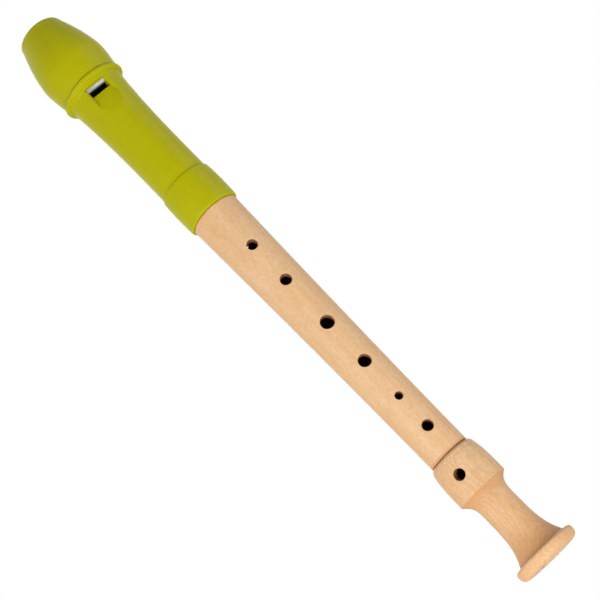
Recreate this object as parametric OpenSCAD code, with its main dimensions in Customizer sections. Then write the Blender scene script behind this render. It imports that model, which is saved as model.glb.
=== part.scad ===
// Soprano recorder: moulded head joint with its windway block, turned middle joint with a cork at
// each end, and turned foot joint.
// Millimetres. +Z runs up the bore from the foot's end face (z = 0) to the beak.
// The front, with the window and the finger holes, faces -Y.

/* [Lengths] */
// Length of the foot joint, from its end face to the top of its barrel
foot_len = 57; // [48:0.5:72]
// Length of the middle joint that shows between the foot and the head
body_len = 143.1; // [115:0.1:170]
// Length of the head joint, from its rim to the tip of the beak
head_len = 119.5; // [112:0.5:146]

/* [Bores] */
// Diameter of the bore in the head joint
head_bore_d = 13.2; // [11:0.1:15]
// Diameter of the bore at the top of the middle joint
body_bore_top_d = 13; // [11:0.1:15]
// Diameter of the bore at the foot of the middle joint
body_bore_low_d = 11.2; // [9:0.1:13]
// Diameter of the bore through the foot joint
foot_bore_d = 11; // [8:0.1:12]

/* [Foot joint] */
// Diameter of the flange
flange_d = 29.2; // [26:0.1:40]
// Thickness of the flange
flange_h = 5.1; // [4.5:0.1:9]
// Rounding of the flange's lower edge, on the end face
flange_low_round = 2.8; // [0.5:0.1:3]
// Rounding of the flange's upper edge
flange_top_round = 1.4; // [0.3:0.1:1.4]
// Diameter at the waist
waist_d = 15.6; // [14.5:0.1:20]
// Height of the waist's narrowest place above the end face
waist_z = 27.5; // [21:0.5:31]
// Diameter of the flare where it meets the flange
flare_d = 23.6; // [18:0.1:25]
// How late the waist widens towards the flange: 1 is a straight cone
flare_curve = 3.4; // [1:0.1:5]
// How late the waist widens towards the barrel: 1 is a straight cone
cove_curve = 4.3; // [1:0.1:6]
// Diameter of the barrel at its widest
barrel_d = 23.4; // [22:0.1:28]
// Diameter of the barrel at its top
barrel_top_d = 21.4; // [20.5:0.1:25]
// Height of the barrel
barrel_h = 19; // [16:0.1:25]
// How late the barrel narrows towards its top: 1 is a straight cone
barrel_curve = 4; // [1:0.1:6]
// Rounding of the barrel's top edge
barrel_round = 2.2; // [0.2:0.1:2.4]
// Depth of the socket in the foot
foot_socket_depth = 6.4; // [5.5:0.1:9]
// Diameter of the socket in the foot
foot_socket_d = 16; // [15:0.1:17.5]

/* [Middle joint] */
// Outer diameter at the foot end
body_low_d = 18.7; // [17.6:0.05:20.5]
// Outer diameter at the head end
body_top_d = 23; // [21:0.05:25]
// How late the body widens towards the head: 1 is a straight cone
body_curve = 1.48; // [1:0.02:2]
// Rounding of the two shoulders
shoulder_round = 0.4; // [0.1:0.1:0.8]

/* [Finger holes] */
// Diameter of hole 1, nearest the head
hole_1_d = 4.8; // [3:0.1:7]
// Diameter of hole 2
hole_2_d = 5.1; // [3:0.1:7]
// Diameter of hole 3
hole_3_d = 6.1; // [3:0.1:7]
// Diameter of hole 4
hole_4_d = 5.6; // [3:0.1:7]
// Diameter of hole 5
hole_5_d = 3.5; // [3:0.1:7]
// Diameter of hole 6, nearest the foot
hole_6_d = 4.9; // [3:0.1:7]
// Diameter of hole 7, in the foot
hole_7_d = 4.9; // [3:0.1:5.5]
// Wood left between the foot's socket and hole 7
hole_7_land = 0.75; // [0.5:0.05:2]
// Turn of hole 7 away from the front, towards -X
hole_7_turn = 27; // [0:1:45]
// Diameter of the thumb hole on the back
thumb_hole_d = 5.5; // [3:0.1:7]
// Width of the softened edge round each hole
hole_edge = 0.4; // [0.1:0.05:0.8]

/* [Corks] */
// Thickness of the cork on both tenons
cork_t = 0.8; // [0.6:0.05:1.2]
// Wood left beyond each end of the cork on the upper tenon
head_cork_land = 4.3; // [2:0.1:6]
// Wood left beyond each end of the cork on the lower tenon
foot_cork_land = 1.5; // [1:0.1:2]

/* [Head joint] */
// Diameter of the collar round the socket
collar_d = 25.8; // [24.5:0.1:30]
// Length of the collar
collar_h = 18.8; // [15:0.1:26]
// How much the collar swells between its ends, on the radius
collar_swell = 0.35; // [0:0.05:0.6]
// Rounding of the collar's rim
rim_round = 0.8; // [0.2:0.1:1.4]
// Depth of the socket in the head
head_socket_depth = 20.5; // [17:0.5:25]
// Diameter of the socket in the head
head_socket_d = 18.6; // [17.6:0.1:20]
// Diameter of the tube above the collar
tube_low_d = 23.7; // [22:0.1:25]
// Diameter of the tube under the ring
tube_top_d = 27.2; // [25:0.1:28]
// How late the tube widens towards the ring: 1 is a straight cone
tube_curve = 3.2; // [1:0.1:4]
// Diameter of the ring
ring_d = 31.5; // [29.5:0.1:34]
// Height of the ring with the step under it
ring_h = 4.5; // [4.4:0.1:7]
// Diameter of the step under the ring
ring_step_d = 28; // [27.6:0.1:28.6]
// Height of the step under the ring
ring_step_h = 1.7; // [0.5:0.1:1.7]
// Rounding of the ring's edges
ring_round = 1.25; // [0.5:0.05:1.25]
// Depth of the groove between the ring and the bulb
groove = 0.3; // [0.1:0.05:0.3]
// Diameter at the bottom of the bulb
bulb_base_d = 29.9; // [29:0.1:34]
// Widest diameter of the bulb
bulb_d = 32.7; // [31:0.1:38]
// Diameter of the beak at its tip
tip_d = 22.9; // [21.5:0.1:26]
// Length from the bottom of the ring's step to the tip of the beak
beak_len = 41.7; // [38:0.1:50]
// Length from the bulb's widest place to the tip of the beak
bulb_drop = 25.4; // [22:0.1:30]
// How early the bulb widens above its bottom: 1 is a straight cone
bulb_low_curve = 1.45; // [1:0.05:2]
// How late the bulb narrows towards the tip: 1 is a straight cone
bulb_curve = 1.6; // [1:0.05:2]
// Rounding of the tip's edge
tip_round = 3.3; // [0.5:0.1:3.5]
// Distance of the hollow under the beak in front of the bore's axis, at the tip
beak_front = 1.5; // [0.5:0.1:3]
// Height of the back end of that hollow above the bulb's widest place
hollow_rise = 0.8; // [0.3:0.1:4]
// Radius of the hollow under the beak
beak_hollow_r = 60; // [45:1:120]

/* [Window] */
// Width of the window and of the windway
window_w = 9.6; // [8:0.1:10]
// Height of the window, from the lip to the end of the windway
window_h = 4.4; // [4.3:0.1:6]
// Depth of the lip behind the tube's surface
lip_depth = 3.7; // [3:0.1:4.2]
// Thickness of the lip's edge
lip_t = 0.35; // [0.3:0.05:0.6]
// Length of the ramp in front of the lip
ramp_len = 17; // [10:0.5:20]
// Flare of the cut's side walls, in degrees
wall_flare = 32; // [0:1:40]
// Length of the hollow under the lip
lip_hollow_len = 12; // [8:0.5:16]

/* [Windway and block] */
// Height of the windway where it meets the window
windway_h = 1; // [0.8:0.1:1.4]
// Height of the windway where the player blows
mouth_h = 1.4; // [1:0.1:1.8]
// Distance of the windway's roof from the bore's axis, where the player blows
mouth_roof = 8.3; // [7.8:0.1:8.8]
// Height of the windway's roof over the lip's edge
lip_drop = 0.75; // [0.3:0.05:1]
// Bevel on the block's edge at the window
block_bevel = 1.8; // [0.4:0.1:2]

/* [Clearances] */
// Gap between two joints' shoulders when they are pushed home
shoulder_gap = 0.2; // [0.1:0.05:0.4]
// Gap all round a cork, to its socket and to its groove
cork_gap = 0.05; // [0.02:0.01:0.1]
// Gap all round the block in the head
block_gap = 0.05; // [0.02:0.01:0.1]
// Gap between each tenon's wood and its socket, on the radius
tenon_gap = 0.25; // [0.15:0.05:0.4]
// Gap between the end of each tenon and the floor of its socket
end_gap = 0.5; // [0.3:0.1:1]

/* [Hidden] */
$fn = 96;

// A cut runs this far past the surface it opens
past = 1;
// Straight pieces that make up each curved stretch of an outline, and each rounded edge
steps = 16;
arc_steps = 6;
// Sides of a finger hole, and of the cylinder that hollows the beak
hole_sides = 48;
hollow_sides = 180;
// Small bevel that breaks a crisp edge
crisp = 0.2;
// Angles where a rounded edge takes over from a sloping side: the barrel's, the ring's and the tip's
barrel_arc_from = 15;
ring_arc_to = 50;
tip_arc_from = 10;
rim_arc_to = -15;

// Heights of the joints' ends
body_z = foot_len + shoulder_gap;
body_top_z = body_z + body_len;
rim_z = body_top_z + shoulder_gap;
tip_z = rim_z + head_len;

// Sockets and tenons
foot_socket_r = foot_socket_d / 2;
foot_tenon_r = foot_socket_r - tenon_gap;
foot_tenon_z = foot_len - foot_socket_depth + end_gap;
head_socket_r = head_socket_d / 2;
head_tenon_r = head_socket_r - tenon_gap;
head_tenon_z = rim_z + head_socket_depth - end_gap;

// Corks, each in the middle of its tenon's length: [bottom, top]
foot_cork = [foot_tenon_z + foot_cork_land, body_z - foot_cork_land];
head_cork = [body_top_z + head_cork_land, head_tenon_z - head_cork_land];

// Finger holes on the front: [share of the body's length above its lower shoulder, diameter]
front_holes = [
    [0.829, hole_1_d], [0.683, hole_2_d], [0.507, hole_3_d],
    [0.3505, hole_4_d], [0.210, hole_5_d], [0.0935, hole_6_d]
];
thumb_hole_share = 0.885;
hole_7_z = foot_len - foot_socket_depth - hole_7_land - hole_7_d / 2;

// Parts of the head, up from the foot's end face
collar_top_z = rim_z + collar_h;
ring_z = tip_z - beak_len;
ring_top_z = ring_z + ring_h;
bulb_z = tip_z - bulb_drop;

// Window and windway, whose distances are in front of the bore's axis. The window ends under the ring.
window_top_z = ring_z;
lip_z = window_top_z - window_h;
ramp_z = lip_z - ramp_len;
lip_y = tube_top_d / 2 - lip_depth;
roof_y = lip_y + lip_drop;
floor_y = roof_y - windway_h;
mouth_floor_y = mouth_roof - mouth_h;
head_bore_r = head_bore_d / 2;
// Where the window's sides meet the wall of the bore
bore_edge_y = sqrt(pow(head_bore_r, 2) - pow(window_w / 2, 2));

// Hollow under the beak: a cylinder across the beak, through the bulb's widest place at the back
// and the tip
hollow_from = [bulb_d / 2, bulb_z + hollow_rise];
hollow_to = [-beak_front, tip_z];
hollow_chord = norm(hollow_to - hollow_from);
hollow_dir = (hollow_to - hollow_from) / hollow_chord;
hollow_reach = sqrt(pow(beak_hollow_r, 2) - pow(hollow_chord / 2, 2));
hollow_centre = (hollow_from + hollow_to) / 2 + hollow_reach * [hollow_dir[1], -hollow_dir[0]];

// Points on an arc about a centre, in [radius, height]
function arc(centre, r, from, to) =
    [for (i = [0:arc_steps]) let (a = from + (to - from) * i / arc_steps) centre + r * [cos(a), sin(a)]];

// Points on a stretch from z0 to z1 whose radius goes from r0 to r1 as the share of the way to a power
function swept(z0, z1, r0, r1, power) =
    [for (i = [0:steps]) [r0 + (r1 - r0) * pow(i / steps, power), z0 + (z1 - z0) * i / steps]];

// The same with the fast change at the start instead of at the end
function swept_early(z0, z1, r0, r1, power) =
    [for (i = [0:steps]) [r1 + (r0 - r1) * pow(1 - i / steps, power), z0 + (z1 - z0) * i / steps]];

// Outer radius of the middle joint at a share of its length
function body_r(share) = (body_low_d + (body_top_d - body_low_d) * pow(share, body_curve)) / 2;

// Radius of the collar at a height above its rim, widest half-way up
function collar_r(h) = collar_d / 2 - collar_swell * pow(2 * h / collar_h - 1, 2);

// Solid of revolution about the bore from an outline of [radius, height]
module turned(outline) {
    rotate_extrude(convexity = 6) polygon(outline);
}

// Round hole from the axis out to the front, with its edge softened
module finger_hole(d, z, turn, surface_r) {
    translate([0, 0, z]) rotate([90, 0, -turn]) {
        cylinder(d = d, h = surface_r + past, $fn = hole_sides);
        translate([0, 0, surface_r - 2 * hole_edge])
            cylinder(d1 = d, d2 = d + 3 * hole_edge, h = 3 * hole_edge, $fn = hole_sides);
    }
}

// Ring between two radii and two heights
module ring(inner_r, outer_r, z) {
    translate([0, 0, z[0]]) difference() {
        cylinder(r = outer_r, h = z[1] - z[0]);
        translate([0, 0, -past]) cylinder(r = inner_r, h = z[1] - z[0] + 2 * past);
    }
}

// Groove for a cork round a tenon
module cork_groove(tenon_r, z) {
    ring(tenon_r - cork_t, tenon_r + past, z);
}

// Cork ring with room in its groove and in its socket
module cork_ring(tenon_r, socket_r, z) {
    ring(tenon_r - cork_t + cork_gap, socket_r - cork_gap, z + cork_gap * [1, -1]);
}

// Block across the head between two widths, from an outline of [distance in front, height]
module across(outline, w) {
    translate([-w / 2, 0, 0]) rotate([90, 0, 90]) linear_extrude(height = w)
        polygon([for (p = outline) [-p[0], p[1]]]);
}

// Foot joint: flange, waist and barrel round a straight bore
module foot_joint() {
    flange_r = flange_d / 2;
    waist_r = waist_d / 2;
    barrel_r = barrel_d / 2;
    top_r = barrel_top_d / 2;
    barrel_z = foot_len - barrel_h;
    round_z = foot_len - barrel_round;
    outline = concat(
        [[0, 0]],
        arc([flange_r - flange_low_round, flange_low_round], flange_low_round, -90, 0),
        arc([flange_r - flange_top_round, flange_h - flange_top_round], flange_top_round, 0, 90),
        swept_early(flange_h, waist_z, flare_d / 2, waist_r, flare_curve),
        swept(waist_z, barrel_z, waist_r, barrel_r - crisp, cove_curve),
        swept(barrel_z + crisp, round_z, barrel_r, top_r, barrel_curve),
        arc([top_r - barrel_round, round_z], barrel_round, barrel_arc_from, 90),
        [[0, foot_len]]
    );
    color("burlywood") difference() {
        turned(outline);
        translate([0, 0, -past]) cylinder(d = foot_bore_d, h = foot_len + 2 * past);
        translate([0, 0, foot_len - foot_socket_depth])
            cylinder(r = foot_socket_r, h = foot_socket_depth + past);
        finger_hole(hole_7_d, hole_7_z, hole_7_turn, barrel_d / 2);
    }
}

module foot_tenon_cork() {
    color("peru") cork_ring(foot_tenon_r, foot_socket_r, foot_cork);
}

// Middle joint: tapered body with a tenon at each end
module middle_joint() {
    low_r = body_low_d / 2;
    top_r = body_top_d / 2;
    body_wall = [for (i = [1:steps - 1]) [body_r(i / steps), body_z + body_len * i / steps]];
    outline = concat(
        [[0, foot_tenon_z], [foot_tenon_r, foot_tenon_z], [foot_tenon_r, body_z]],
        arc([low_r - shoulder_round, body_z + shoulder_round], shoulder_round, -90, 0),
        body_wall,
        arc([top_r - shoulder_round, body_top_z - shoulder_round], shoulder_round, 0, 90),
        [[head_tenon_r, body_top_z], [head_tenon_r, head_tenon_z], [0, head_tenon_z]]
    );
    color("burlywood") difference() {
        turned(outline);
        translate([0, 0, foot_tenon_z - past])
            cylinder(d1 = body_bore_low_d, d2 = body_bore_top_d,
                h = head_tenon_z - foot_tenon_z + 2 * past);
        cork_groove(foot_tenon_r, foot_cork);
        cork_groove(head_tenon_r, head_cork);
        for (hole = front_holes)
            finger_hole(hole[1], body_z + hole[0] * body_len, 0, body_r(hole[0]));
        finger_hole(thumb_hole_d, body_z + thumb_hole_share * body_len, 180, body_r(thumb_hole_share));
    }
}

module head_tenon_cork() {
    color("peru") cork_ring(head_tenon_r, head_socket_r, head_cork);
}

// Outside of the head: collar, tube, ring and bulb, turned about the bore
module head_outside() {
    collar_wall = [for (i = [0:steps])
        let (h = rim_round + (collar_h - rim_round - crisp) * i / steps) [collar_r(h), rim_z + h]];
    ring_r = ring_d / 2;
    bead_z = ring_z + ring_step_h;
    base_r = bulb_base_d / 2;
    tip_r = tip_d / 2;
    outline = concat(
        [[0, rim_z]],
        arc([collar_r(0) - rim_round, rim_z + rim_round], rim_round, -90, rim_arc_to),
        collar_wall,
        [[collar_r(collar_h) - crisp, collar_top_z]],
        swept(collar_top_z, ring_z, tube_low_d / 2, tube_top_d / 2, tube_curve),
        [[ring_step_d / 2, ring_z + crisp], [ring_step_d / 2, bead_z]],
        arc([ring_r - ring_round, bead_z + ring_round], ring_round, -90, 0),
        arc([ring_r - ring_round, ring_top_z - groove - ring_round], ring_round, 0, ring_arc_to),
        [[ring_r - ring_round / 2 - groove, ring_top_z - groove / 2]],
        swept_early(ring_top_z, bulb_z, base_r, bulb_d / 2, bulb_low_curve),
        swept(bulb_z, tip_z - tip_round, bulb_d / 2, tip_r, bulb_curve),
        arc([tip_r - tip_round, tip_z - tip_round], tip_round, tip_arc_from, 90),
        [[0, tip_z]]
    );
    turned(outline);
}

// Hollow under the beak, which the head and its block share
module beak_hollow() {
    translate([0, hollow_centre[0], hollow_centre[1]]) rotate([0, 90, 0])
        cylinder(r = beak_hollow_r, h = 2 * bulb_d, center = true, $fn = hollow_sides);
}

// Flared cut of the ramp and the window, down to the lip
module window_cut() {
    reach = ring_d / 2 + past;
    flare_w = window_w / 2 + (reach - lip_y) * tan(wall_flare);
    ramp_r = tube_top_d / 2;
    intersection() {
        translate([0, 0, ramp_z - past]) linear_extrude(height = window_top_z - ramp_z + past)
            polygon([
                [-window_w / 2, -lip_y + past], [-window_w / 2, -lip_y], [-flare_w, -reach],
                [flare_w, -reach], [window_w / 2, -lip_y], [window_w / 2, -lip_y + past]
            ]);
        across([
            [ramp_r, ramp_z], [lip_y, lip_z], [lip_y - past, lip_z],
            [lip_y - past, window_top_z], [reach, window_top_z], [reach, ramp_z]
        ], 2 * flare_w);
    }
}

// Window below the lip, the hollow behind it, the windway and the block's seat
module windway_cut() {
    across([
        [lip_y - lip_t, lip_z], [lip_y, lip_z], [lip_y, window_top_z], [0, window_top_z],
        [0, lip_z - lip_hollow_len], [bore_edge_y - crisp, lip_z - lip_hollow_len]
    ], window_w);
    across([
        [0, window_top_z - past], [lip_y, window_top_z - past], [lip_y, window_top_z],
        [roof_y, window_top_z], [mouth_roof, tip_z], [mouth_roof, tip_z + past], [0, tip_z + past]
    ], window_w);
}

// Head joint: the outside less its bore, socket, window, windway and beak hollow
module head_joint() {
    color("yellowgreen") difference() {
        head_outside();
        translate([0, 0, rim_z - past]) cylinder(r = head_bore_r, h = head_len + 2 * past);
        translate([0, 0, rim_z - past]) cylinder(r = head_socket_r, h = head_socket_depth + past);
        beak_hollow();
        window_cut();
        windway_cut();
    }
}

// Block: a plug in the bore whose front face is the windway's floor
module windway_block() {
    plug_w = window_w - 2 * block_gap;
    color("gainsboro") difference() {
        union() {
            translate([0, 0, window_top_z])
                cylinder(r = head_bore_r - block_gap, h = tip_z - window_top_z);
            across([
                [0, window_top_z], [floor_y - block_bevel, window_top_z],
                [floor_y, window_top_z + block_bevel], [mouth_floor_y, tip_z], [0, tip_z]
            ], plug_w);
        }
        beak_hollow();
    }
}

foot_joint();
foot_tenon_cork();
middle_joint();
head_tenon_cork();
head_joint();
windway_block();
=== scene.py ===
import math

import bmesh
import bpy
from mathutils import Matrix, Vector


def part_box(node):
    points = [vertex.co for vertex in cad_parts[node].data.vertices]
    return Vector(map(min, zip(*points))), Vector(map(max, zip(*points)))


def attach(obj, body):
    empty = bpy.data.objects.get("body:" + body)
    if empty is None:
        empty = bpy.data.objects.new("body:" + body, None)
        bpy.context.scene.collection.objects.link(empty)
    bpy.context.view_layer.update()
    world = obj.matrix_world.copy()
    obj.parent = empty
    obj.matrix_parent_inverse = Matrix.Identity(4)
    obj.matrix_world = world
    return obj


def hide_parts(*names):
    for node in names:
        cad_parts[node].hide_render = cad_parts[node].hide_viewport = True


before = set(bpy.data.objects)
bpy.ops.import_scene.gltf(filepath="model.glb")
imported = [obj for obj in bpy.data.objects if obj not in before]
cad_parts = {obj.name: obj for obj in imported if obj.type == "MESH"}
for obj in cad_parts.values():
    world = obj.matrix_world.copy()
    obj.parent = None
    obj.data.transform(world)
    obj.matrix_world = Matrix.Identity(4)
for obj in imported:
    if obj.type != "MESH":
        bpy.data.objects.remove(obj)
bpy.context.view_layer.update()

# Soprano recorder. The turned and moulded pieces are made again from the CAD's own outlines, in
# millimetres, with finer curves and with every edge softened. Each one stands for its CAD node.
MM = 0.001

# ---- Fineness of the meshes and softness of their edges -------------------------------------

# Steps along an arc, a swept curve and the body, steps or sides round a piece, and the longest
# straight run of an outline.
ARC_STEPS = 8
SWEPT_STEPS = 40
WALL_STEPS = 100
ROUND_STEPS = 160
HOLLOW_SIDES = 720
CIRCLE_SIDES = 96
HOLE_SIDES = 72
MAX_RUN = 1.2

# Corners that turn by more than SHARP_TURN are rounded, over no more than CORNER_SHARE of the
# sides next to them. Edges that still turn by more than SMOOTH_TURN are shaded as sharp.
EDGE_ROUND = 0.3
FINE_EDGE_ROUND = 0.25
SHARP_TURN = math.radians(25)
SMOOTH_TURN = math.radians(32)
CORNER_STEPS = 4
CORNER_SHARE = 0.45
SAME_PLACE = 1e-6

# The softened edge of a drilled hole, and its cutter: how much wider than the hole its outer end
# is, and the share of the bore's radius at which it starts.
HOLE_EDGE = 0.45
HOLE_EDGE_STEPS = 7
HOLE_EDGE_TURN = math.radians(82)
CUTTER_MOUTH = 2.5 * HOLE_EDGE
CUTTER_START = 0.3

# ---- Sizes, as in the CAD -------------------------------------------------------------------

# PAST is how far a cutter goes past what it cuts, and CRISP is the width of a small step.
PAST = 1.0
CRISP = 0.2

SHOULDER_GAP = 0.2
CORK_GAP = 0.05
CORK_T = 0.8
END_GAP = 0.5
TENON_GAP = 0.25
BLOCK_GAP = 0.05

FLANGE_R = 14.6
FLANGE_H = 5.1
FLANGE_LOW_ROUND = 2.8
FLANGE_TOP_ROUND = 1.4
FLARE_R = 11.8
FLARE_CURVE = 3.4
WAIST_R = 7.8
WAIST_Z = 27.5
COVE_CURVE = 4.3
BARREL_R = 11.7
BARREL_TOP_R = 10.7
BARREL_H = 19.0
BARREL_CURVE = 4.0
BARREL_ROUND = 2.2
BARREL_ARC_FROM = 15
FOOT_BORE_R = 5.5
FOOT_SOCKET_R = 8.0

BODY_LOW_R = 9.35
BODY_TOP_R = 11.5
BODY_CURVE = 1.48
SHOULDER_ROUND = 0.4
BODY_BORE_LOW_R = 5.6
BODY_BORE_TOP_R = 6.5

HEAD_SOCKET_R = 9.3
HEAD_BORE_R = 6.6
COLLAR_R = 12.9
COLLAR_H = 18.8
COLLAR_SWELL = 0.35
RIM_ROUND = 0.8
RIM_ARC_TO = -15
TUBE_LOW_R = 11.85
TUBE_TOP_R = 13.6
TUBE_CURVE = 3.2
RING_R = 15.75
RING_H = 4.5
RING_STEP_R = 14.0
RING_STEP_H = 1.7
RING_ROUND = 1.25
RING_ARC_TO = 50
GROOVE = 0.3
BULB_BASE_R = 14.95
BULB_R = 16.35
BULB_LOW_CURVE = 1.45
BULB_CURVE = 1.6
BULB_DROP = 25.4
BEAK_LEN = 41.7
BEAK_FRONT = 1.5
TIP_R = 11.45
TIP_ROUND = 3.3
TIP_ARC_FROM = 10
HOLLOW_RISE = 0.8
HOLLOW_R = 60.0

WINDOW_W = 9.6
WINDOW_H = 4.4
LIP_DEPTH = 3.7
LIP_T = 0.35
LIP_DROP = 0.75
LIP_HOLLOW_LEN = 12.0
RAMP_LEN = 17.0
WALL_FLARE = math.radians(32)
WINDWAY_H = 1.0
MOUTH_H = 1.4
MOUTH_ROOF = 8.3
BLOCK_BEVEL = 1.8

# Holes in the middle joint: (share of the body's length above its lower shoulder, diameter)
FRONT_HOLES = [
    (0.829, 4.8), (0.683, 5.1), (0.507, 6.1),
    (0.3505, 5.6), (0.210, 3.5), (0.0935, 4.9),
]
THUMB_HOLE = (0.885, 5.5)
HOLE_7_D = 4.9
HOLE_7_LAND = 0.75
HOLE_7_TURN = math.radians(27)

# ---- Heights, from the frame, and what follows from them ------------------------------------


def low_z(node):
    """Height of a CAD node's lowest point."""
    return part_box(node)[0].z / MM


def high_z(node):
    """Height of a CAD node's highest point."""
    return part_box(node)[1].z / MM


FOOT_TOP = high_z("foot_joint")
FOOT_TENON = low_z("middle_joint")
HEAD_TENON = high_z("middle_joint")
RIM = low_z("head_joint")
TIP = high_z("head_joint")
FOOT_CORK = (low_z("foot_tenon_cork"), high_z("foot_tenon_cork"))
HEAD_CORK = (low_z("head_tenon_cork"), high_z("head_tenon_cork"))

BODY_LOW = FOOT_TOP + SHOULDER_GAP
BODY_TOP = RIM - SHOULDER_GAP
BODY_LEN = BODY_TOP - BODY_LOW
BARREL_Z = FOOT_TOP - BARREL_H
FOOT_SOCKET_DEPTH = FOOT_TOP - FOOT_TENON + END_GAP
HEAD_SOCKET_DEPTH = HEAD_TENON - RIM + END_GAP
FOOT_TENON_R = FOOT_SOCKET_R - TENON_GAP
HEAD_TENON_R = HEAD_SOCKET_R - TENON_GAP
HOLE_7_Z = FOOT_TOP - FOOT_SOCKET_DEPTH - HOLE_7_LAND - HOLE_7_D / 2

RING_Z = TIP - BEAK_LEN
RING_TOP = RING_Z + RING_H
BULB_Z = TIP - BULB_DROP
WINDOW_TOP = RING_Z
LIP_Z = WINDOW_TOP - WINDOW_H
RAMP_Z = LIP_Z - RAMP_LEN
LIP_Y = TUBE_TOP_R - LIP_DEPTH
ROOF_Y = LIP_Y + LIP_DROP
FLOOR_Y = ROOF_Y - WINDWAY_H
MOUTH_FLOOR_Y = MOUTH_ROOF - MOUTH_H

# ---- Outlines: lists of (radius, height) ----------------------------------------------------


def arc(r, z, radius, start, end):
    """Points on an arc about (r, z), between two angles in degrees."""
    angles = [math.radians(start + (end - start) * i / ARC_STEPS) for i in range(ARC_STEPS + 1)]
    return [(r + radius * math.cos(a), z + radius * math.sin(a)) for a in angles]


def swept(z0, z1, r0, r1, power):
    """A stretch from (r0, z0) to (r1, z1). The radius changes as a power of the share of the way."""
    shares = [i / SWEPT_STEPS for i in range(SWEPT_STEPS + 1)]
    return [(r0 + (r1 - r0) * s**power, z0 + (z1 - z0) * s) for s in shares]


def swept_early(z0, z1, r0, r1, power):
    """The same, with the radius changing fast at the start instead of at the end."""
    return swept(z1, z0, r1, r0, power)[::-1]


def softened(outline, radius):
    """The closed outline with each sharp corner rounded, and points that repeat left out."""
    made = []
    count = len(outline)
    for i, here in enumerate(outline):
        before, after = Vector(outline[i - 1]), Vector(outline[(i + 1) % count])
        corner = Vector(here)
        a, b = before - corner, after - corner
        if min(a.length, b.length) < SAME_PLACE:
            continue
        turn = math.pi - a.angle(b)
        if turn < SHARP_TURN:
            made.append(here)
            continue
        reach = min(radius * math.tan(turn / 2), a.length * CORNER_SHARE, b.length * CORNER_SHARE)
        start, end = corner + a.normalized() * reach, corner + b.normalized() * reach
        for k in range(CORNER_STEPS + 1):
            t = k / CORNER_STEPS
            point = start * (1 - t) ** 2 + corner * 2 * t * (1 - t) + end * t**2
            made.append((point.x, point.y))
    return made


def even(outline):
    """The closed outline with long straight runs cut into short ones."""
    made = []
    for i, here in enumerate(outline):
        after = outline[(i + 1) % len(outline)]
        length = math.dist(here, after)
        cuts = max(1, math.ceil(length / MAX_RUN))
        for k in range(cuts):
            t = k / cuts
            made.append((here[0] + (after[0] - here[0]) * t, here[1] + (after[1] - here[1]) * t))
    return made


def circle(radius, sides):
    """Corners of a regular polygon round (0, 0)."""
    angles = [2 * math.pi * k / sides for k in range(sides)]
    return [(radius * math.cos(a), radius * math.sin(a)) for a in angles]


# ---- Meshes ---------------------------------------------------------------------------------


def mesh_object(name, points, faces):
    """Object in the scene from points in millimetres."""
    mesh = bpy.data.meshes.new(name)
    mesh.from_pydata([tuple(c * MM for c in p) for p in points], [], faces)
    mesh.validate()
    obj = bpy.data.objects.new(name, mesh)
    bpy.context.scene.collection.objects.link(obj)
    return obj


def turned(name, outline):
    """Solid ring of revolution about Z from a closed outline that stays clear of the axis."""
    count = len(outline)
    points = []
    for k in range(ROUND_STEPS):
        a = 2 * math.pi * k / ROUND_STEPS
        points += [(r * math.cos(a), r * math.sin(a), z) for r, z in outline]
    faces = []
    for k in range(ROUND_STEPS):
        here, there = k * count, ((k + 1) % ROUND_STEPS) * count
        for i in range(count):
            j = (i + 1) % count
            faces.append((here + i, there + i, there + j, here + j))
    obj = mesh_object(name, points, faces)
    outward(obj)
    return obj


def outward(obj):
    """Faces turned to point out of the solid."""
    bm = bmesh.new()
    bm.from_mesh(obj.data)
    bmesh.ops.recalc_face_normals(bm, faces=bm.faces)
    if bm.calc_volume(signed=True) < 0:
        bmesh.ops.reverse_faces(bm, faces=bm.faces)
    bm.to_mesh(obj.data)
    bm.free()


def prism(name, outline, place):
    """Solid between two copies of an outline.

    place turns a point of the outline and an end, 0 or 1, into (x, y, z).
    """
    count = len(outline)
    points = [place(p, 0) for p in outline] + [place(p, 1) for p in outline]
    faces = [tuple(range(count)), tuple(range(count, 2 * count))]
    faces += [(i, (i + 1) % count, (i + 1) % count + count, i + count) for i in range(count)]
    obj = mesh_object(name, points, faces)
    outward(obj)
    return obj


def across(name, outline, width):
    """Solid of a width, left to right, from an outline of (distance in front of the axis, height)."""
    return prism(name, outline, lambda p, end: ((end - 0.5) * width, -p[0], p[1]))


def boolean(obj, other, operation):
    """obj changed by other, which is then removed."""
    modifier = obj.modifiers.new("cut", "BOOLEAN")
    modifier.operation = operation
    modifier.solver = "EXACT"
    modifier.object = other
    bpy.context.view_layer.update()
    evaluated = obj.evaluated_get(bpy.context.evaluated_depsgraph_get())
    mesh = bpy.data.meshes.new_from_object(evaluated)
    obj.modifiers.clear()
    obj.data = mesh
    bpy.data.objects.remove(other)
    return obj


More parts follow.
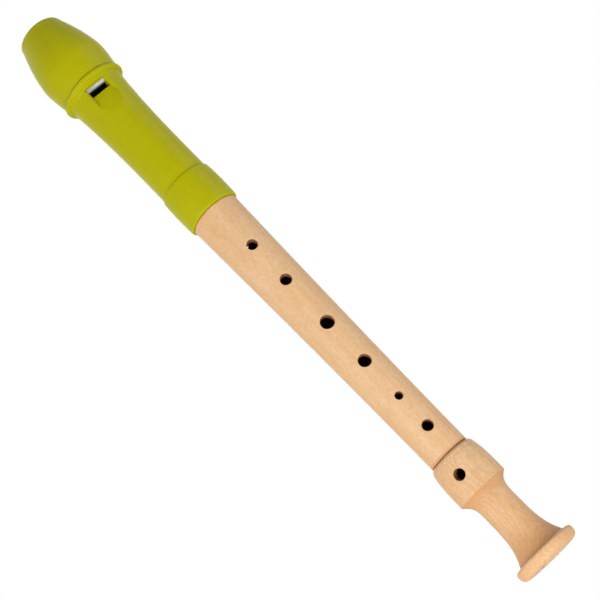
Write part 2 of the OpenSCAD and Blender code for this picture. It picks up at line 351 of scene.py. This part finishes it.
def hole_cutter(radius, surface_r, depth_r):
    """Cutter for a round hole to the front, whose softened edge follows the round surface.

    Each of its sides is a row of points that starts depth_r in front of the axis, runs out along
    the hole's wall, goes round the softened edge and ends past the surface.
    """
    points = []
    for k in range(HOLE_SIDES):
        a = 2 * math.pi * k / HOLE_SIDES
        points.append((radius * math.cos(a), -depth_r, radius * math.sin(a)))
        for i in range(HOLE_EDGE_STEPS + 1):
            turn = HOLE_EDGE_TURN * i / HOLE_EDGE_STEPS
            rho = radius + HOLE_EDGE * (1 - math.cos(turn))
            x = rho * math.cos(a)
            surface = math.sqrt(surface_r**2 - x**2)
            points.append((x, -(surface - HOLE_EDGE * (1 - math.sin(turn))), rho * math.sin(a)))
        rho = radius + CUTTER_MOUTH
        points.append((rho * math.cos(a), -surface_r - PAST, rho * math.sin(a)))
    row = len(points) // HOLE_SIDES
    starts = [k * row for k in range(HOLE_SIDES)]
    faces = [tuple(starts), tuple(start + row - 1 for start in starts)]
    for here, there in zip(starts, starts[1:] + starts[:1]):
        faces += [(here + i, there + i, there + i + 1, here + i + 1) for i in range(row - 1)]
    obj = mesh_object("cutter", points, faces)
    outward(obj)
    return obj


def cut_hole(obj, diameter, z, turn, surface_r, bore_r):
    """Hole at a height, turned aside from the front, that stops inside the bore."""
    cutter = hole_cutter(diameter / 2, surface_r, bore_r * CUTTER_START)
    move = Matrix.Translation((0, 0, z * MM)) @ Matrix.Rotation(-turn, 4, "Z")
    cutter.data.transform(move)
    return boolean(obj, cutter, "DIFFERENCE")


def smooth(obj):
    """Smooth shading, except over the edges that are still sharp."""
    mesh = obj.data
    for polygon in mesh.polygons:
        polygon.use_smooth = True
    mesh.set_sharp_from_angle(angle=SMOOTH_TURN)


def stand_for(obj, node, body, material):
    """obj is the finished piece in place of a CAD node."""
    smooth(obj)
    obj.data.materials.clear()
    obj.data.materials.append(material)
    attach(obj, body)
    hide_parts(node)


# ---- Pieces ---------------------------------------------------------------------------------


def make_foot():
    """Flange, waist and barrel in one, with the socket above the bore and the seventh hole."""
    round_z = FOOT_TOP - BARREL_ROUND
    socket_z = FOOT_TOP - FOOT_SOCKET_DEPTH
    outline = (
        [(FOOT_BORE_R, 0.0)]
        + arc(FLANGE_R - FLANGE_LOW_ROUND, FLANGE_LOW_ROUND, FLANGE_LOW_ROUND, -90, 0)
        + arc(FLANGE_R - FLANGE_TOP_ROUND, FLANGE_H - FLANGE_TOP_ROUND, FLANGE_TOP_ROUND, 0, 90)
        + swept_early(FLANGE_H, WAIST_Z, FLARE_R, WAIST_R, FLARE_CURVE)
        + swept(WAIST_Z, BARREL_Z, WAIST_R, BARREL_R - CRISP, COVE_CURVE)[1:]
        + swept(BARREL_Z + CRISP, round_z, BARREL_R, BARREL_TOP_R, BARREL_CURVE)
        + arc(BARREL_TOP_R - BARREL_ROUND, round_z, BARREL_ROUND, BARREL_ARC_FROM, 90)
        + [(FOOT_SOCKET_R, FOOT_TOP), (FOOT_SOCKET_R, socket_z), (FOOT_BORE_R, socket_z)]
    )
    foot = turned("foot", even(softened(outline, EDGE_ROUND)))
    return cut_hole(foot, HOLE_7_D, HOLE_7_Z, HOLE_7_TURN, barrel_radius(HOLE_7_Z), FOOT_BORE_R)


def barrel_radius(z):
    """The barrel's radius at a height."""
    low, high = BARREL_Z + CRISP, FOOT_TOP - BARREL_ROUND
    return BARREL_R + (BARREL_TOP_R - BARREL_R) * ((z - low) / (high - low)) ** BARREL_CURVE


def body_radius(share):
    """The body's radius at a share of its length above the lower shoulder."""
    return BODY_LOW_R + (BODY_TOP_R - BODY_LOW_R) * share**BODY_CURVE


def tenon_outline(tenon_r, cork, lowest, highest):
    """One side of a tenon with its groove for the cork, from low to high."""
    groove_r = tenon_r - CORK_T
    low, high = cork[0] - CORK_GAP, cork[1] + CORK_GAP
    return [(tenon_r, lowest), (tenon_r, low), (groove_r, low), (groove_r, high),
            (tenon_r, high), (tenon_r, highest)]


def make_middle():
    """Body with a tenon at each end, six holes on the front and the thumb hole on the back."""
    wall = [(body_radius(i / WALL_STEPS), BODY_LOW + BODY_LEN * i / WALL_STEPS)
            for i in range(1, WALL_STEPS)]
    outline = (
        [(BODY_BORE_LOW_R, FOOT_TENON)]
        + tenon_outline(FOOT_TENON_R, FOOT_CORK, FOOT_TENON, BODY_LOW)
        + arc(BODY_LOW_R - SHOULDER_ROUND, BODY_LOW + SHOULDER_ROUND, SHOULDER_ROUND, -90, 0)
        + wall
        + arc(BODY_TOP_R - SHOULDER_ROUND, BODY_TOP - SHOULDER_ROUND, SHOULDER_ROUND, 0, 90)
        + tenon_outline(HEAD_TENON_R, HEAD_CORK, BODY_TOP, HEAD_TENON)
        + [(BODY_BORE_TOP_R, HEAD_TENON)]
    )
    middle = turned("middle", even(softened(outline, FINE_EDGE_ROUND)))
    holes = [(share, d, 0.0) for share, d in FRONT_HOLES] + [(*THUMB_HOLE, math.pi)]
    for share, diameter, turn in holes:
        bore_r = BODY_BORE_LOW_R + (BODY_BORE_TOP_R - BODY_BORE_LOW_R) * share
        cut_hole(middle, diameter, BODY_LOW + share * BODY_LEN, turn, body_radius(share), bore_r)
    return middle


def cork_ring(name, cork, tenon_r, socket_r):
    """Cork between the bottom of its groove in the tenon and the socket's wall."""
    inner, outer = tenon_r - CORK_T + CORK_GAP, socket_r - CORK_GAP
    outline = [(inner, cork[0]), (outer, cork[0]), (outer, cork[1]), (inner, cork[1])]
    return turned(name, even(softened(outline, FINE_EDGE_ROUND)))


def collar_radius(h):
    """The collar's radius at a height above the head's rim: widest half way up."""
    return COLLAR_R - COLLAR_SWELL * (2 * h / COLLAR_H - 1) ** 2


def head_outline():
    """Collar, tube, ring, bulb and tip, with the bore and the socket as its inner side."""
    heights = [RIM_ROUND + (COLLAR_H - RIM_ROUND - CRISP) * i / SWEPT_STEPS
               for i in range(SWEPT_STEPS + 1)]
    socket_z = RIM + HEAD_SOCKET_DEPTH
    bead_z = RING_Z + RING_STEP_H
    return (
        [(HEAD_SOCKET_R, RIM)]
        + arc(collar_radius(0) - RIM_ROUND, RIM + RIM_ROUND, RIM_ROUND, -90, RIM_ARC_TO)
        + [(collar_radius(h), RIM + h) for h in heights]
        + [(collar_radius(COLLAR_H) - CRISP, RIM + COLLAR_H)]
        + swept(RIM + COLLAR_H, RING_Z, TUBE_LOW_R, TUBE_TOP_R, TUBE_CURVE)
        + [(RING_STEP_R, RING_Z + CRISP), (RING_STEP_R, bead_z)]
        + arc(RING_R - RING_ROUND, bead_z + RING_ROUND, RING_ROUND, -90, 0)
        + arc(RING_R - RING_ROUND, RING_TOP - GROOVE - RING_ROUND, RING_ROUND, 0, RING_ARC_TO)
        + [(RING_R - RING_ROUND / 2 - GROOVE, RING_TOP - GROOVE / 2)]
        + swept_early(RING_TOP, BULB_Z, BULB_BASE_R, BULB_R, BULB_LOW_CURVE)
        + swept(BULB_Z, TIP - TIP_ROUND, BULB_R, TIP_R, BULB_CURVE)[1:]
        + arc(TIP_R - TIP_ROUND, TIP - TIP_ROUND, TIP_ROUND, TIP_ARC_FROM, 90)
        + [(HEAD_BORE_R, TIP), (HEAD_BORE_R, socket_z), (HEAD_SOCKET_R, socket_z)]
    )


def beak_hollow():
    """Cylinder across the beak that hollows its back, from just above the bulb's widest place to the tip."""
    start, end = Vector((BULB_R, BULB_Z + HOLLOW_RISE)), Vector((-BEAK_FRONT, TIP))
    chord = end - start
    reach = math.sqrt(HOLLOW_R**2 - (chord.length / 2) ** 2)
    along = chord.normalized()
    centre = (start + end) / 2 + reach * Vector((along.y, -along.x))
    outline = [(-centre.x - x, centre.y + y) for x, y in circle(HOLLOW_R, HOLLOW_SIDES)]
    return across("cutter", outline, 4 * BULB_R)


def window_cutter():
    """Flared cut of the ramp and the window, down to the lip. The ramp's wedge is wider than the cut."""
    reach = RING_R + PAST
    half = WINDOW_W / 2
    flare = half + (reach - LIP_Y) * math.tan(WALL_FLARE)
    section = [(-half, -LIP_Y + PAST), (-half, -LIP_Y), (-flare, -reach),
               (flare, -reach), (half, -LIP_Y), (half, -LIP_Y + PAST)]
    ends = (RAMP_Z - PAST, WINDOW_TOP)
    walls = prism("cutter", section, lambda p, end: (p[0], p[1], ends[end]))
    ramp = across("ramp", [
        (TUBE_TOP_R, RAMP_Z), (LIP_Y, LIP_Z), (LIP_Y - PAST, LIP_Z),
        (LIP_Y - PAST, WINDOW_TOP + PAST), (reach + PAST, WINDOW_TOP + PAST), (reach + PAST, RAMP_Z),
    ], 3 * flare)
    return boolean(walls, ramp, "INTERSECT")


def lip_hollow():
    """Cut from the window into the bore, with the sloping hollow that thins the lip from inside."""
    low = LIP_Z - LIP_HOLLOW_LEN
    bore_edge = math.sqrt(HEAD_BORE_R**2 - (WINDOW_W / 2) ** 2)
    return across("cutter", [
        (LIP_Y - LIP_T, LIP_Z), (LIP_Y, LIP_Z), (LIP_Y, WINDOW_TOP), (0, WINDOW_TOP),
        (0, low), (bore_edge - CRISP, low),
    ], WINDOW_W)


def windway():
    """Cut from the window up to the beak's end, under the windway's sloping roof."""
    return across("cutter", [
        (0, WINDOW_TOP - PAST), (LIP_Y, WINDOW_TOP - PAST), (LIP_Y, WINDOW_TOP),
        (ROOF_Y, WINDOW_TOP), (MOUTH_ROOF, TIP), (MOUTH_ROOF, TIP + PAST), (0, TIP + PAST),
    ], WINDOW_W)


def make_head():
    """Collar, tube, bulb and beak in one, with the window, the lip and the windway's roof."""
    head = turned("head", even(softened(head_outline(), EDGE_ROUND)))
    for cutter in (beak_hollow, window_cutter, lip_hollow, windway):
        boolean(head, cutter(), "DIFFERENCE")
    return head


def make_block():
    """Round plug in the bore, with the windway's bevelled floor on its front."""
    ends = (WINDOW_TOP, TIP)
    section = circle(HEAD_BORE_R - BLOCK_GAP, CIRCLE_SIDES)
    plug = prism("block", section, lambda p, end: (p[0], p[1], ends[end]))
    face = across("face", [
        (0, WINDOW_TOP), (FLOOR_Y - BLOCK_BEVEL, WINDOW_TOP), (FLOOR_Y, WINDOW_TOP + BLOCK_BEVEL),
        (MOUTH_FLOOR_Y, TIP), (0, TIP),
    ], WINDOW_W - 2 * BLOCK_GAP)
    boolean(plug, face, "UNION")
    return boolean(plug, beak_hollow(), "DIFFERENCE")


# ---- Materials ------------------------------------------------------------------------------


class Nodes:
    """Short names for building one material's nodes."""

    def __init__(self, name):
        self.material = bpy.data.materials.new(name)
        self.material.use_nodes = True
        self.tree = self.material.node_tree
        self.tree.nodes.clear()
        self.output = self.add("ShaderNodeOutputMaterial")
        self.shader = self.add("ShaderNodeBsdfPrincipled")
        self.link(self.shader.outputs["BSDF"], self.output.inputs["Surface"])
        place = self.add("ShaderNodeTexCoord").outputs["Object"]
        self.mm = self.vector("MULTIPLY", place, (1 / MM,) * 3)

    def add(self, kind, **values):
        """New node of a kind, with these properties."""
        node = self.tree.nodes.new(kind)
        for key, value in values.items():
            setattr(node, key, value)
        return node

    def link(self, a, b):
        self.tree.links.new(a, b)

    def put(self, socket, value):
        """The socket takes a link or a plain value, or stays as it is for None."""
        if isinstance(value, bpy.types.NodeSocket):
            self.link(value, socket)
        elif value is not None:
            socket.default_value = value

    def vector(self, operation, a, b=None):
        node = self.add("ShaderNodeVectorMath", operation=operation)
        self.put(node.inputs[0], a)
        self.put(node.inputs[1], b)
        return node.outputs["Value" if operation in ("LENGTH", "DOT_PRODUCT") else "Vector"]

    def math(self, operation, a, b=None):
        node = self.add("ShaderNodeMath", operation=operation)
        self.put(node.inputs[0], a)
        self.put(node.inputs[1], b)
        return node.outputs["Value"]

    def along(self, direction):
        """How far, in millimetres, a place lies along a direction."""
        return self.vector("DOT_PRODUCT", self.mm, direction)

    def noise(self, scale, detail=2.0, roughness=0.5, distortion=0.0):
        """Noise whose scale, in bumps a millimetre, may differ along x, y and z."""
        sizes = scale if isinstance(scale, tuple) else (scale,) * 3
        place = self.vector("MULTIPLY", self.mm, sizes)
        node = self.add("ShaderNodeTexNoise")
        self.link(place, node.inputs["Vector"])
        node.inputs["Scale"].default_value = 1.0
        node.inputs["Detail"].default_value = detail
        node.inputs["Roughness"].default_value = roughness
        node.inputs["Distortion"].default_value = distortion
        return node.outputs["Fac"]

    def ramp(self, value, low, high, start=0.0, end=1.0):
        """From start to end while the value goes from low to high, and level beyond them."""
        node = self.add("ShaderNodeMapRange")
        self.link(value, node.inputs["Value"])
        for key, number in (("From Min", low), ("From Max", high), ("To Min", start), ("To Max", end)):
            node.inputs[key].default_value = number
        return node.outputs["Result"]

    def mix(self, share, a, b):
        """Colour a with a share of colour b. Inputs 6 and 7 and output 2 are the node's colours."""
        node = self.add("ShaderNodeMix", data_type="RGBA")
        self.put(node.inputs[0], share)
        self.put(node.inputs[6], a)
        self.put(node.inputs[7], b)
        return node.outputs[2]

    def bump(self, height, distance, before=None):
        """Surface raised by a height of so many millimetres, over an earlier bump if one is given."""
        node = self.add("ShaderNodeBump")
        node.inputs["Strength"].default_value = 1.0
        node.inputs["Distance"].default_value = distance * MM
        self.link(height, node.inputs["Height"])
        if before is not None:
            self.link(before, node.inputs["Normal"])
        return node.outputs["Normal"]

    def set(self, **values):
        """Inputs of the material's shader, named with _ in place of a space."""
        for key, value in values.items():
            self.put(self.shader.inputs[key.replace("_", " ")], value)


def linear(red, green, blue):
    """A colour for a shader, given as it shows on a screen, 0 to 255."""
    def one(c):
        c /= 255
        return c / 12.92 if c <= 0.04045 else ((c + 0.055) / 1.055) ** 2.4
    return (one(red), one(green), one(blue), 1.0)


def darker(colour, share):
    """A colour with its light multiplied by a share."""
    return (*[c * share for c in colour[:3]], 1.0)


UP = (0.0, 0.0, 1.0)
BACK = (0.0, 1.0, 0.0)
NOISE_SPAN = (0.3, 0.7)

PLASTIC_GRAIN = dict(scale=7.0, detail=2)
PLASTIC_SWELL = dict(scale=0.22, detail=1)
PLASTIC_CLOUD = dict(scale=0.06, detail=2)
CLOUD_SPAN = (0.35, 0.65)
GRAIN_BUMP = 0.006
SWELL_BUMP = 0.05
PLASTIC_IOR = 1.5

# Painted shade: the block's end face is painted near-black, as the shade deep in the bore. Its grey
# darkens behind one place and below another, and fades over these distances.
BLOCK_SHADE_COLOUR = linear(14, 14, 11)
BLOCK_SHADE_Y = BLOCK_BEVEL - FLOOR_Y
BLOCK_SHADE_Z = WINDOW_TOP + 1.0
BLOCK_SHADE_FADE_BACK = 1.9
BLOCK_SHADE_FADE_UP = 1.0


def plastic(name, colour, shade, roughness, shine, painted_shade_from=None):
    """Moulded satin plastic: a fine spark-eroded grain over a faint unevenness of the moulding.

    Given a pair (y, z), it paints shade: it darkens behind y as far as it lies below z.
    """
    n = Nodes(name)
    grain = n.noise(**PLASTIC_GRAIN)
    swell = n.noise(**PLASTIC_SWELL)
    cloud = n.noise(**PLASTIC_CLOUD)
    tone = n.mix(n.ramp(cloud, *CLOUD_SPAN), colour, shade)
    if painted_shade_from is not None:
        shade_y, shade_z = painted_shade_from
        behind = n.ramp(n.along(BACK), shade_y, shade_y + BLOCK_SHADE_FADE_BACK)
        below = n.ramp(n.along(UP), shade_z + BLOCK_SHADE_FADE_UP, shade_z)
        # Painted shade: near-black behind and below the given place.
        tone = n.mix(n.math("MULTIPLY", behind, below), tone, BLOCK_SHADE_COLOUR)
    n.set(Base_Color=tone,
          Roughness=n.ramp(grain, *NOISE_SPAN, roughness - 0.03, roughness + 0.05),
          Normal=n.bump(grain, GRAIN_BUMP, n.bump(swell, SWELL_BUMP)),
          IOR=PLASTIC_IOR, Specular_IOR_Level=shine)
    return n.material


def facing(turn):
    """Direction a hole faces when it is turned aside from the front."""
    return (-math.sin(turn), -math.cos(turn), 0.0)


# Walls of the drilled holes: (height, radius, direction the hole faces)
MIDDLE_WALLS = [(BODY_LOW + share * BODY_LEN, d / 2, facing(0.0)) for share, d in FRONT_HOLES]
MIDDLE_WALLS.append((BODY_LOW + THUMB_HOLE[0] * BODY_LEN, THUMB_HOLE[1] / 2, facing(math.pi)))
FOOT_WALLS = [(HOLE_7_Z, HOLE_7_D / 2, facing(HOLE_7_TURN))]
WALL_TOLERANCE = 0.04


def wall_share(n, holes):
    """1 on the walls of the drilled holes and 0 elsewhere."""
    share = 0.0
    for z, radius, side in holes:
        place = n.vector("SUBTRACT", n.mm, (0.0, 0.0, z))
        off_axis = n.vector("LENGTH", n.vector("CROSS_PRODUCT", place, side))
        near = n.math("LESS_THAN", off_axis, radius + WALL_TOLERANCE)
        ahead = n.math("GREATER_THAN", n.vector("DOT_PRODUCT", place, side), 0.0)
        share = n.math("MAXIMUM", n.math("MULTIPLY", near, ahead), share)
    return share


# Painted shade, more orange, in the coves and at the seams: (height where it starts, height where it
# has faded away, share of the shade colour there)
COVE_AND_SEAM_SHADE = linear(192, 120, 48)
MIDDLE_SEAM_SHADE = [(BODY_LOW, BODY_LOW + 1.4, 0.6)]
FOOT_COVE_AND_SEAM_SHADE = [
    (FOOT_TOP + CRISP, FOOT_TOP - 1.3, 0.5), (BARREL_Z, BARREL_Z - 8.0, 0.4),
    (FLANGE_H, FLANGE_H + 13.0, 0.42), (FLANGE_H, BARREL_Z + 10.0, 0.2),
]


def shaded_in_coves(n, tone, shade_bands):
    """The tone, with painted shade, more orange, in the coves and at the seams."""
    for start, end, share in shade_bands:
        side = n.math("GREATER_THAN" if end > start else "LESS_THAN", n.along(UP), start)
        shaded_share = n.math("MULTIPLY", side, n.ramp(n.along(UP), start, end, 1.0, 0.0))
        tone = n.mix(n.math("MULTIPLY", shaded_share, share), tone, COVE_AND_SEAM_SHADE)
    return tone


# Painted shade of the holes and of the bore, and how much of it covers the wood. The bore's mouth
# has none of it: it comes in between two heights. It goes out between two depths in the wood.
HOLE_WALL_SHADE = linear(108, 50, 22)
BORE_SHADE = linear(58, 24, 10)
HOLE_WALL_SHADE_SHARE = 0.75
BORE_SHADE_SHARE = 0.9
BORE_SHADE_HEIGHTS = (2.0, 9.0)
BORE_SHADE_DEPTHS = (0.1, 0.6)


def shaded_inside(n, tone, bore_r, holes):
    """The tone, with painted shade: dark in the bore and on the walls of the holes."""
    off_axis = n.vector("LENGTH", n.vector("MULTIPLY", n.mm, (1.0, 1.0, 0.0)))
    full, none = (bore_r + depth for depth in BORE_SHADE_DEPTHS)
    inside = n.math("MULTIPLY", n.ramp(off_axis, none, full), n.ramp(n.along(UP), *BORE_SHADE_HEIGHTS))
    tone = n.mix(n.math("MULTIPLY", wall_share(n, holes), HOLE_WALL_SHADE_SHARE), tone, HOLE_WALL_SHADE)
    return n.mix(n.math("MULTIPLY", inside, BORE_SHADE_SHARE), tone, BORE_SHADE)


# The wood's figure, in layers of noise. The grain runs along z, so they are longest that way. Each
# layer's span is where its noise goes from nothing to full, and its share is its strength.
WANDER = dict(scale=(0.05, 0.05, 0.02), detail=3, roughness=0.6)
WANDER_REACH = 9.0
LATE_WOOD_POWER = 3.0
FIGURE = dict(scale=(0.16, 0.16, 0.05), detail=3, roughness=0.55)
FIGURE_SPAN = (0.33, 0.67)
CURL = dict(scale=(0.9, 0.9, 0.55), detail=3, roughness=0.65, distortion=0.8)
CURL_SPAN = (0.36, 0.68)
CURL_SHARE = 0.32
FIBRES = dict(scale=(3.0, 3.0, 0.35), detail=4, roughness=0.65)
FIBRE_SPAN = (0.42, 0.75)
FIBRE_SHARE = 0.30
FIBRE_HEIGHT = 0.7
FLECKS = dict(scale=(2.6, 2.6, 1.3), detail=2, distortion=0.5)
FLECK_SPAN = (0.56, 0.70)
FLECK_SHARE = 0.48
FLECK_TONE = 0.85
FLECK_HEIGHT = -0.5
WOOD_BUMP = 0.02
WOOD_ROUGHNESS = (0.44, 0.56)
WOOD_IOR = 1.45


def growth_rings(n, heart, gap):
    """1 on the late wood of the rings round the tree's heart, at (x, y), and 0 on the early wood."""
    from_heart = n.vector("SUBTRACT", n.mm, (*heart, 0.0))
    flat = n.vector("MULTIPLY", from_heart, (1.0, 1.0, 0.0))
    wander = n.math("MULTIPLY", n.noise(**WANDER), WANDER_REACH)
    distance = n.math("ADD", n.vector("LENGTH", flat), wander)
    phase = n.math("MULTIPLY", distance, 2 * math.pi / gap)
    return n.math("POWER", n.ramp(n.math("SINE", phase), -1.0, 1.0), LATE_WOOD_POWER)


def turned_wood(name, light, dark, line, heart, ring_gap, ring_depth, bore_r, holes, shade_bands):
    """Pale close-grained wood: cloudy figure, faint growth rings, flecks, fibres; painted shade in bore,
    holes, coves and seams.
    """
    n = Nodes(name)
    late = growth_rings(n, heart, ring_gap)
    figure = n.ramp(n.noise(**FIGURE), *FIGURE_SPAN)
    curl = n.ramp(n.noise(**CURL), *CURL_SPAN)
    fibres = n.noise(**FIBRES)
    flecks = n.ramp(n.noise(**FLECKS), *FLECK_SPAN)
    tone = n.mix(figure, light, dark)
    tone = n.mix(n.math("MULTIPLY", curl, CURL_SHARE), tone, line)
    tone = n.mix(n.math("MULTIPLY", late, ring_depth), tone, line)
    tone = n.mix(n.ramp(fibres, *FIBRE_SPAN, 0.0, FIBRE_SHARE), tone, line)
    tone = n.mix(n.math("MULTIPLY", flecks, FLECK_SHARE), tone, darker(line, FLECK_TONE))
    # Painted shade: in the coves and at the seams, and in the bore and on the walls of the holes.
    tone = shaded_inside(n, shaded_in_coves(n, tone, shade_bands), bore_r, holes)
    height = n.math("ADD", n.math("MULTIPLY", fibres, FIBRE_HEIGHT),
                    n.math("MULTIPLY", flecks, FLECK_HEIGHT))
    n.set(Base_Color=tone,
          Roughness=n.ramp(fibres, *NOISE_SPAN, *WOOD_ROUGHNESS),
          Normal=n.bump(height, WOOD_BUMP), IOR=WOOD_IOR)
    return n.material


CORK_LIGHT = linear(176, 134, 88)
CORK_DARK = linear(140, 98, 58)
CORK_PORE = linear(72, 44, 24)
CELLS = dict(scale=1.6, detail=4, roughness=0.7)
CELL_SPAN = (0.35, 0.65)
PORES = dict(scale=(0.9, 0.9, 1.6), detail=2, distortion=1.2)
PORE_SPAN = (0.60, 0.68)
PORE_DEPTH = 0.8
CORK_BUMP = 0.08
CORK_ROUGHNESS = (0.6, 0.8)


def cork_material():
    """Waxed cork: rounded cells with dark pores."""
    n = Nodes("cork")
    cells = n.noise(**CELLS)
    pores = n.ramp(n.noise(**PORES), *PORE_SPAN)
    tone = n.mix(n.ramp(cells, *CELL_SPAN), CORK_LIGHT, CORK_DARK)
    tone = n.mix(pores, tone, CORK_PORE)
    height = n.math("SUBTRACT", cells, n.math("MULTIPLY", pores, PORE_DEPTH))
    n.set(Base_Color=tone, Roughness=n.ramp(cells, *NOISE_SPAN, *CORK_ROUGHNESS),
          Normal=n.bump(height, CORK_BUMP))
    return n.material


LIME = plastic("lime_plastic", linear(186, 182, 0), linear(182, 179, 0), roughness=0.40, shine=0.16)
GREY = plastic("grey_plastic", linear(224, 226, 228), linear(220, 222, 224), roughness=0.38, shine=0.5,
               painted_shade_from=(BLOCK_SHADE_Y, BLOCK_SHADE_Z))
MAPLE = turned_wood(
    "maple", light=linear(244, 206, 160), dark=linear(239, 195, 145), line=linear(217, 160, 106),
    heart=(34.0, 52.0), ring_gap=2.1, ring_depth=0.16,
    bore_r=BODY_BORE_TOP_R, holes=MIDDLE_WALLS, shade_bands=MIDDLE_SEAM_SHADE)
FOOT_MAPLE = turned_wood(
    "foot_maple", light=linear(244, 207, 162), dark=linear(238, 194, 144), line=linear(210, 150, 94),
    heart=(-9.0, 46.0), ring_gap=1.0, ring_depth=0.30,
    bore_r=FOOT_BORE_R, holes=FOOT_WALLS, shade_bands=FOOT_COVE_AND_SEAM_SHADE)
CORK = cork_material()

stand_for(make_foot(), "foot_joint", "foot", FOOT_MAPLE)
stand_for(make_middle(), "middle_joint", "middle", MAPLE)
stand_for(make_head(), "head_joint", "head", LIME)
stand_for(make_block(), "windway_block", "head", GREY)
stand_for(cork_ring("foot_cork_ring", FOOT_CORK, FOOT_TENON_R, FOOT_SOCKET_R),
          "foot_tenon_cork", "foot_cork", CORK)
stand_for(cork_ring("head_cork_ring", HEAD_CORK, HEAD_TENON_R, HEAD_SOCKET_R),
          "head_tenon_cork", "head_cork", CORK)

# ---- Floor, light and camera ----------------------------------------------------------------

# The floor, in millimetres. Its hole is so much smaller in radius than the flange, and its glow
# grows from near to far between two distances from the axis.
FLOOR_UNDER_FLANGE = 1.3
FLOOR_REACH = 3000.0
FLOOR_COLOUR = linear(240, 240, 239)
GLOW_FROM, GLOW_TO = 250.0, 2600.0
GLOW_NEAR, GLOW_FAR = 0.42, 0.85

FILL_LIGHT = 0.14

# Lamps: name, place from the recorder's middle in metres, size in metres, power in watts
LAMPS = [
    ("key", (-0.66, -0.46, -0.26), (0.5, 0.6), 5.5),
    ("low", (0.02, -0.58, -0.62), (0.5, 0.6), 4.2),
    ("right", (0.74, -0.34, 0.18), (0.4, 0.6), 1.6),
    ("back", (0.15, 0.75, 0.40), (0.6, 0.6), 2.2),
    ("top", (-0.30, 0.30, 0.90), (0.6, 0.6), 0.8),
]

# The camera, in metres. Its roll tips the head to the upper left.
CAMERA_PLACE = Vector((-0.14328, -0.62622, -0.035))
CAMERA_AIM = Vector((0.00045, 0, 0.14717))
CAMERA_ROLL = math.radians(44.348)
LENS_MM = 96.02
SENSOR_MM = 36.0


def make_floor():
    """Pale floor at the foot's end face, white far away. It can't be seen from below.

    Lamps under it shine through, and a round hole in it keeps it clear of that face.
    """
    edges = zip(circle(FLANGE_R - FLOOR_UNDER_FLANGE, CIRCLE_SIDES), circle(FLOOR_REACH, CIRCLE_SIDES))
    points = [(x, y, 0) for pair in edges for x, y in pair]
    faces = []
    for k in range(CIRCLE_SIDES):
        here, there = 2 * k, 2 * ((k + 1) % CIRCLE_SIDES)
        faces.append((here, here + 1, there + 1, there))
    floor = mesh_object("floor", points, faces)
    n = Nodes("floor")
    glow = n.ramp(n.vector("LENGTH", n.mm), GLOW_FROM, GLOW_TO, GLOW_NEAR, GLOW_FAR)
    shown = n.add("ShaderNodeLightPath").outputs["Is Camera Ray"]
    n.set(Base_Color=FLOOR_COLOUR, Roughness=0.7,
          Emission_Color=(1, 1, 1, 1), Emission_Strength=n.math("MULTIPLY", glow, shown))
    below = n.add("ShaderNodeNewGeometry").outputs["Backfacing"]
    clear = n.add("ShaderNodeBsdfTransparent")
    choice = n.add("ShaderNodeMixShader")
    n.link(below, choice.inputs[0])
    n.link(n.shader.outputs["BSDF"], choice.inputs[1])
    n.link(clear.outputs["BSDF"], choice.inputs[2])
    n.link(choice.outputs["Shader"], n.output.inputs["Surface"])
    floor.data.materials.append(n.material)
    floor.visible_shadow = False


def make_world(strength):
    """White to the camera and in reflections, and of this strength as a light."""
    world = bpy.data.worlds.new("studio")
    world.use_nodes = True
    tree = world.node_tree
    tree.nodes.clear()
    output = tree.nodes.new("ShaderNodeOutputWorld")
    white, fill = tree.nodes.new("ShaderNodeBackground"), tree.nodes.new("ShaderNodeBackground")
    white.inputs["Strength"].default_value = 1.0
    fill.inputs["Strength"].default_value = strength
    for shader in (white, fill):
        shader.inputs["Color"].default_value = (1, 1, 1, 1)
    path = tree.nodes.new("ShaderNodeLightPath")
    choice = tree.nodes.new("ShaderNodeMixShader")
    shown = path.outputs["Is Camera Ray"]
    for kind in ("Is Glossy Ray", "Is Transmission Ray"):
        larger = tree.nodes.new("ShaderNodeMath")
        larger.operation = "MAXIMUM"
        tree.links.new(shown, larger.inputs[0])
        tree.links.new(path.outputs[kind], larger.inputs[1])
        shown = larger.outputs[0]
    tree.links.new(shown, choice.inputs[0])
    tree.links.new(fill.outputs[0], choice.inputs[1])
    tree.links.new(white.outputs[0], choice.inputs[2])
    tree.links.new(choice.outputs[0], output.inputs["Surface"])
    bpy.context.scene.world = world


def softbox(name, place, aim, size, power):
    """Rectangular lamp at a place, facing a point."""
    lamp = bpy.data.lights.new(name, "AREA")
    lamp.shape = "RECTANGLE"
    lamp.size, lamp.size_y = size
    lamp.energy = power
    obj = bpy.data.objects.new(name, lamp)
    obj.location = place
    obj.rotation_mode = "QUATERNION"
    obj.rotation_quaternion = (Vector(aim) - Vector(place)).to_track_quat("-Z", "Y")
    obj.visible_camera = False
    bpy.context.scene.collection.objects.link(obj)


def make_camera():
    """Long lens a little below the foot's end, looking up the front, rolled so the head lies up left."""
    forward = (CAMERA_AIM - CAMERA_PLACE).normalized()
    head_up = (Vector((0, 0, 1)) - forward * forward.z).normalized()
    side = forward.cross(head_up)
    up = head_up * math.cos(CAMERA_ROLL) + side * math.sin(CAMERA_ROLL)
    right = side * math.cos(CAMERA_ROLL) - head_up * math.sin(CAMERA_ROLL)
    camera = bpy.data.cameras.new("camera")
    camera.lens = LENS_MM
    camera.sensor_width = SENSOR_MM
    camera.clip_start, camera.clip_end = 0.01, 50.0
    obj = bpy.data.objects.new("camera", camera)
    obj.matrix_world = Matrix((right, up, -forward)).transposed().to_4x4()
    obj.location = CAMERA_PLACE
    bpy.context.scene.collection.objects.link(obj)
    bpy.context.scene.camera = obj


make_floor()
make_world(FILL_LIGHT)
centre = Vector((0, 0, TIP * MM / 2))
for name, offset, size, power in LAMPS:
    softbox(name, centre + Vector(offset), centre, size, power)
make_camera()
bpy.context.scene.view_settings.view_transform = "Standard"
